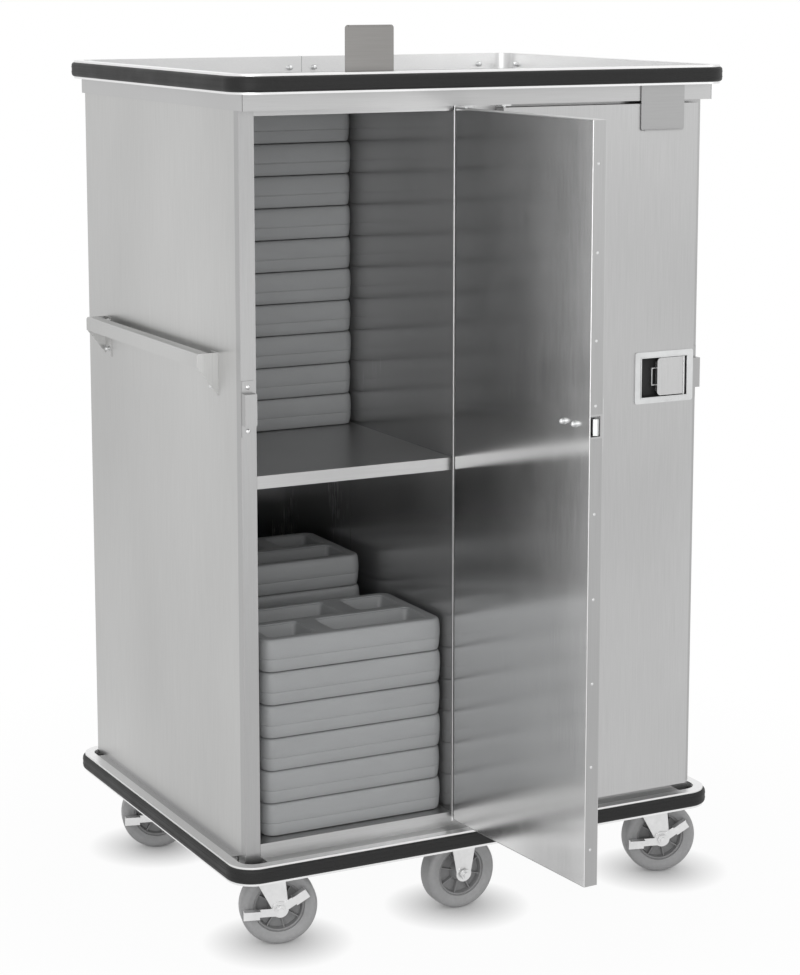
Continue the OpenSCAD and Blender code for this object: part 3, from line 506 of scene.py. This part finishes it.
# (radius, height) round the core: rim, web, hub and back
CORE_PROFILE = ((46, -14.5), (48.2, -15.5), (50.4, -14.6), (50.4, 14.6), (48.2, 15.5),
                (46, 14.5), (45, 12), (44, 3.2), (21, 3.0), (19, 15), (17, 22), (15, 24), (7, 24),
                (6.3, 23), (6.3, -23), (7, -24), (15, -24), (17, -22), (19, -15), (21, -3.0),
                (44, -3.2), (45, -12), (46, -14.5))
SPOKES, SPOKE_TURN = 8, 0.35


def tyre_profile():
    """(radius, height) round the tyre, its two halves alike."""
    half = [(TYRE_BORE, -TYRE_HALF + 7), (TYRE_BORE + 0.6, -TYRE_HALF + 4),
            (TYRE_BORE + 3, -TYRE_HALF + 2.6), (TYRE_BORE + 7, -TYRE_HALF + 2.2),
            (TYRE_BORE + 10, -TYRE_HALF + 0.4), (TYRE_R - 12, -TYRE_HALF)]
    for k in range(9):
        a = math.pi / 2 * k / 8
        half.append((TYRE_R - SHOULDER + SHOULDER * math.sin(a),
                     -TYRE_HALF + SHOULDER - SHOULDER * math.cos(a)))
    tread = [(TYRE_R, -1.2), (TYRE_R, 1.2)]
    whole = half + tread + [(r, -h) for r, h in reversed(half)]
    return in_mm(whole + whole[:1])


def wheel_pieces(name, body, centre, axis):
    """Tyre and spoked core in place of a CAD wheel."""
    at = turned((0, 0, 1), axis, centre)
    tyre = bmesh.new()
    add_lathe(tyre, tyre_profile(), at, 96)
    tread = finish_piece(name + "_tyre", tyre, body, "wheel_rubber", 30)

    core = bmesh.new()
    add_lathe(core, in_mm(CORE_PROFILE), at, 96)
    for k in range(SPOKES):
        spin = at @ Matrix.Rotation(TAU * (k + SPOKE_TURN) / SPOKES, 4, "Z")
        for side in (-1, 1):
            lo, hi = sorted((side * 2.5 * MM, side * 12.5 * MM))
            add_box(core, (18.5 * MM, -1.3 * MM, lo), (45.5 * MM, 1.3 * MM, hi), spin)
    hub = finish_piece(name + "_core", core, body, "wheel_core", 30, 0.5 * MM)
    for piece in (tread, hub):
        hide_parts(name)


CONTACTS = []     # where the wheels meet the floor
for end in ("front", "rear"):
    for side in ("left", "middle", "right"):
        name = end + "_" + side + "_wheel"
        spin = joint(name + "_spin")
        wheel_pieces(name, spin["child"], spin["pos_m"], spin["axis"])
        CONTACTS.append((*spin["pos_m"][:2], 0))


# ---------------------------------------------------------------- doors

RIVET = ((0, 0.9), (1.4, 0.8), (2.4, 0.45), (3.0, 0), (3.0, -0.3), (0, -0.3))


def door_rivets(side, at):
    """A row of rivets down the free edge; the one that would meet the bolt sits higher."""
    bm = bmesh.new()
    y = (DOOR_LO.y + DOOR_HI.y) / 2 + 2 * MM
    for k in range(9):
        z = DOOR_LO.z + (70 + k * 157) * MM
        if abs(z - LATCH_Z) < 34 * MM:
            z += 40 * MM
        add_lathe(bm, in_mm(RIVET), at @ turned((0, 0, 1), (1, 0, 0), (DOOR_HI.x, y, z)), 20)
    finish_piece(side + "_door_rivets", bm, side + "_door", "hardware_zinc", 60)


def door_edge(side, at):
    """Flange on the free edge, open where the bolt comes out, and its rolled inner hem."""
    body = side + "_door"
    x1, y0, y1, z0, z1 = DOOR_HI.x, DOOR_LO.y, DOOR_HI.y, DOOR_LO.z, DOOR_HI.z
    bolt_gap = 22 * MM
    bm = bmesh.new()
    for low, high in ((z0 + 1 * MM, LATCH_Z - bolt_gap), (LATCH_Z + bolt_gap, z1 - 1 * MM)):
        add_box(bm, (x1 - 0.1 * MM, y0 + 1.5 * MM, low), (x1 + 0.2 * MM, y1 - 1.8 * MM, high), at)
    finish_piece(side + "_door_flange", bm, body, "shaded_post_steel")

    bm = bmesh.new()
    hem = 1.1 * MM
    add_lathe(bm, [(0, z0), (hem, z0), (hem, z1), (0, z1)],
              at @ Matrix.Translation((x1 - hem / 2, y1 - hem / 2, 0)), 16)
    finish_piece(side + "_door_hem", bm, body, "bright_steel", 40)


def bolt_strap(side, at):
    """Guide strap of the bolt, on the cup's floor beside the paddle."""
    bm = bmesh.new()
    x0, x1 = PADDLE_LO.x - 10 * MM, PADDLE_LO.x + 8 * MM
    front, back = CUP_FLOOR - 8 * MM, CUP_FLOOR + 0.1 * MM
    half, wire = 17 * MM, 1 * MM
    for z in (-half, half):
        add_box(bm, (x0, front, LATCH_Z + z - wire), (x1, back, LATCH_Z + z + wire), at)
    add_box(bm, (x0, front, LATCH_Z - half), (x0 + 2 * wire, back, LATCH_Z + half), at)
    finish_piece(side + "_bolt_strap", bm, side + "_door", "hardware_zinc", 40,
                 0.4 * MM)


def cup_painted_shade(side, at):
    """Painted shade: near-black sheets on the cup's floor, its far wall, its bottom and its top.
    """
    bm = bmesh.new()
    skin, gap = 0.3 * MM, 0.05 * MM
    x0, x1, front = MOUTH_X0, MOUTH_X1, CUP_LO.y + 4 * MM
    low, high = LATCH_Z - MOUTH_HALF, LATCH_Z + MOUTH_HALF
    add_box(bm, (x0, CUP_FLOOR - skin, low), (x1, CUP_FLOOR - gap, high), at)
    add_box(bm, (x0 + gap, front, low), (x0 + skin, CUP_FLOOR, high), at)
    for z in (low + gap, high - skin):
        add_box(bm, (x0, front, z), (x1, CUP_FLOOR, z + skin - gap), at)
    finish_piece(side + "_cup_painted_shade", bm, side + "_door", "dark_joint_and_shade")


def bezel_lip(side, at):
    """Raised lip round the mouth of the cup."""
    bm = bmesh.new()
    wall = 2.2 * MM
    low, high = LATCH_Z - MOUTH_HALF, LATCH_Z + MOUTH_HALF
    x0, x1 = MOUTH_X0 - wall, MOUTH_X1 + wall
    for lo, hi in (((x0, low - wall), (x1, low)), ((x0, high), (x1, high + wall)),
                   ((x0, low), (MOUTH_X0, high)), ((MOUTH_X1, low), (x1, high))):
        add_box(bm, (lo[0], CUP_LO.y - 1.2 * MM, lo[1]), (hi[0], CUP_LO.y + 0.2 * MM, hi[1]), at)
    finish_piece(side + "_bezel_lip", bm, side + "_door", "hardware_zinc", 40,
                 0.5 * MM)


for side, at in DOORS:
    for detail in (door_rivets, door_edge, bolt_strap, cup_painted_shade, bezel_lip):
        detail(side, at)


# ---------------------------------------------------------------- seams and small parts

LINE = 0.5 * MM     # width of a fine joint line


def seams():
    """Weld and joint lines: narrow dark strips that stand a hair off their sheet."""
    bm = bmesh.new()
    # the rail's butt joint in the middle of its rear web
    rail_lo, rail_hi = node_box("top_rail")
    web = rail_hi.y - 20 * MM
    add_box(bm, (-LINE / 2, web - 0.2 * MM, rail_lo.z + 1 * MM),
            (LINE / 2, web + 0.2 * MM, rail_hi.z))
    add_box(bm, (-LINE / 2, web, rail_hi.z - 0.2 * MM),
            (LINE / 2, rail_hi.y, rail_hi.z + 0.15 * MM))
    # the upright joint in the left compartment's divider wall, twice as wide
    wall_lo, wall_hi = node_box("left_liner")
    divider_x, seam_y = -58 * MM, POST_Y + 447 * MM
    add_box(bm, (divider_x - 0.15 * MM, seam_y - LINE, wall_lo.z + 20 * MM),
            (divider_x + 0.1 * MM, seam_y + LINE, wall_hi.z - 2 * MM))
    # the header band's front corners
    head_lo, head_hi = node_box("header_band")
    for sx in (-1, 1):
        ex = head_hi.x * sx
        lo, hi = sorted((ex - sx * LINE, ex + sx * 0.15 * MM))
        add_box(bm, (lo, head_lo.y - 0.15 * MM, head_lo.z), (hi, head_lo.y + LINE, head_hi.z))
    finish_piece("joint_lines", bm, "cabinet", "dark_joint_and_shade")


def bumper_beads():
    """Two moulded beads along each bumper."""
    for name in ("top_bumper", "base_bumper"):
        lo, hi = node_box(name)
        bm = bmesh.new()
        for level in (0.32, 0.68):
            add_hoop(bm, (lo, hi), RAIL_R, lo.z + level * (hi.z - lo.z), 2.4 * MM, 0.5 * MM)
        finish_piece(name + "_beads", bm, "cabinet", "bumper_vinyl", 40)


def corner_shades():
    """Painted shade: near-black sheets where the shaded underside shows through the gaps at the
    base's corners: two arms at each.
    """
    bm = bmesh.new()
    lo, hi = node_box("base_infill")
    arm, inset, drop = 60 * MM, 0.5 * MM, 1.5 * MM
    side_w, front_w = BODY_LO.x - lo.x, BODY_LO.y - lo.y
    for sx in (-1, 1):
        ex = sx * (hi.x - inset)
        for sy, ey, along_w in ((-1, lo.y + inset, front_w), (1, hi.y - inset, side_w)):
            for dx, dy in ((arm, along_w), (side_w, arm)):
                xs, ys = sorted((ex, ex - sx * dx)), sorted((ey, ey - sy * dy))
                add_box(bm, (xs[0], ys[0], lo.z - drop - inset), (xs[1], ys[1], lo.z - drop))
    finish_piece("corner_shades", bm, "cabinet", "dark_joint_and_shade")


def mullion_hems():
    """A rolled hem on each front edge of the centre mullion."""
    bm = bmesh.new()
    lo, hi = node_box("center_mullion")
    hem = 1.3 * MM
    for x in (lo.x, hi.x):
        add_lathe(bm, [(0, lo.z), (hem, lo.z), (hem, hi.z), (0, hi.z)],
                  Matrix.Translation((x, POST_Y, 0)), 16)
    finish_piece("mullion_hems", bm, "cabinet", "bright_steel", 40)


PAN_HEAD = ((0, 2.4), (2.6, 2.2), (4.2, 1.2), (4.6, 0), (2.9, 0), (2.9, -1.8), (0, -1.8))


def strike_screws():
    """A pan head screw in each foot of the two strikes."""
    bm = bmesh.new()
    lo, hi = node_box("strikes")
    from_end, from_side = 11.5 * MM, 12 * MM
    for sx in (-1, 1):
        for z in (lo.z + from_end, hi.z - from_end):
            add_lathe(bm, in_mm(PAN_HEAD),
                      turned((0, 0, 1), (0, -1, 0), (sx * (hi.x - from_side), POST_Y - 2 * MM, z)),
                      24)
    finish_piece("strike_screws", bm, "cabinet", "bright_steel", 50)


for small_parts in (seams, bumper_beads, corner_shades, mullion_hems, strike_screws):
    small_parts()


# ---------------------------------------------------------------- floor, light and world

FLOOR_HALF, FLOOR_DEEP, FLOOR_GAP = 60, 0.02, 0.0002
SHADOW_R = 0.15     # how far a wheel's own shadow stays unlightened
DIFFUSE_LIGHT = 0.55


def seen_directly(tree):
    """1 for camera, glossy and transmission rays, 0 for diffuse light."""
    path = tree.nodes.new("ShaderNodeLightPath")
    seen = path.outputs["Is Camera Ray"]
    for ray in ("Is Glossy Ray", "Is Transmission Ray"):
        either = tree.nodes.new("ShaderNodeMath")
        either.operation = "MAXIMUM"
        tree.links.new(seen, either.inputs[0])
        tree.links.new(path.outputs[ray], either.inputs[1])
        seen = either.outputs[0]
    return seen


def stage_floor():
    """A pale floor that keeps the wheels' shadows and fades to a painted white glow away from
    them, which covers the shade the cart casts there.
    """
    bm = bmesh.new()
    add_box(bm, (-FLOOR_HALF, -FLOOR_HALF, -FLOOR_DEEP), (FLOOR_HALF, FLOOR_HALF, -FLOOR_GAP))
    mesh = bpy.data.meshes.new("floor")
    bm.to_mesh(mesh)
    bm.free()
    floor = bpy.data.objects.new("floor", mesh)
    bpy.context.scene.collection.objects.link(floor)
    g = Graph("floor")
    # partly painted shadow: the grey base, seen only near the wheels, darkens their real shadows
    g.set(Base_Color=(0.70, 0.70, 0.70, 1), Roughness=0.6, Specular_IOR_Level=0.2)
    tc = g.node("ShaderNodeTexCoord")
    length = g.node("ShaderNodeVectorMath")
    length.operation = "LENGTH"
    g.link(tc.outputs["Object"], length.inputs[0])
    far = g.spread(length.outputs["Value"], 0.96, 1, 0.7, 1.6)
    near = None
    for point in CONTACTS:
        gap = g.node("ShaderNodeVectorMath")
        gap.operation = "DISTANCE"
        g.link(tc.outputs["Object"], gap.inputs[0])
        gap.inputs[1].default_value = point
        reach = gap.outputs["Value"]
        near = reach if near is None else g.maths("MINIMUM", near, reach)
    # painted light: the white glow is strongest away from the wheels, over the shade the cart
    # casts on the floor
    far = g.maths("MULTIPLY", far, g.spread(near, 0.0, 1.0, 0.0, SHADOW_R))
    fac = g.maths("MULTIPLY", far, seen_directly(g.tree))
    glow = g.node("ShaderNodeEmission", Color=(1, 1, 1, 1), Strength=1.0)
    mix = g.node("ShaderNodeMixShader")
    g.link(fac, mix.inputs[0])
    g.link(g.shader.outputs[0], mix.inputs[1])
    g.link(glow.outputs[0], mix.inputs[2])
    g.link(mix.outputs[0], g.tree.nodes["Material Output"].inputs["Surface"])
    mesh.materials.append(g.mat)


def world_light():
    """Even grey light all round, and a white background where it is seen."""
    world = bpy.data.worlds.new("studio")
    bpy.context.scene.world = world
    world.use_nodes = True
    tree = world.node_tree
    back = tree.nodes["Background"]
    back.inputs["Color"].default_value = (1, 1, 1, 1)
    back.inputs["Strength"].default_value = DIFFUSE_LIGHT
    white = tree.nodes.new("ShaderNodeBackground")
    white.inputs["Color"].default_value = (1, 1, 1, 1)
    mix = tree.nodes.new("ShaderNodeMixShader")
    tree.links.new(seen_directly(tree), mix.inputs[0])
    tree.links.new(back.outputs[0], mix.inputs[1])
    tree.links.new(white.outputs[0], mix.inputs[2])
    tree.links.new(mix.outputs[0], tree.nodes["World Output"].inputs["Surface"])


def softbox(name, at, target, size, power):
    """A rectangular lamp of size metres and power watts, aimed at a point."""
    light = bpy.data.lights.new(name, "AREA")
    light.shape = "RECTANGLE"
    light.size, light.size_y = size
    light.energy = power
    obj = bpy.data.objects.new(name, light)
    obj.location = at
    obj.rotation_euler = (Vector(target) - Vector(at)).to_track_quat("-Z", "Y").to_euler()
    bpy.context.scene.collection.objects.link(obj)


SOFTBOXES = (
    ("key", (-2.6, -4.0, 2.0), (-0.2, 0, 0.8), (3.2, 3.2), 62),
    ("low", (-0.4, -4.2, 0.6), (0, 0, 0.1), (3.0, 1.0), 9),
    ("fill", (3.4, -3.4, 2.2), (0, 0, 0.8), (2.0, 2.6), 10),
    ("top", (0.0, 0.4, 4.4), (0, 0, 0), (3.0, 3.0), 40),
)

stage_floor()
world_light()
for lamp in SOFTBOXES:
    softbox(*lamp)

bpy.context.scene.view_settings.view_transform = "Standard"
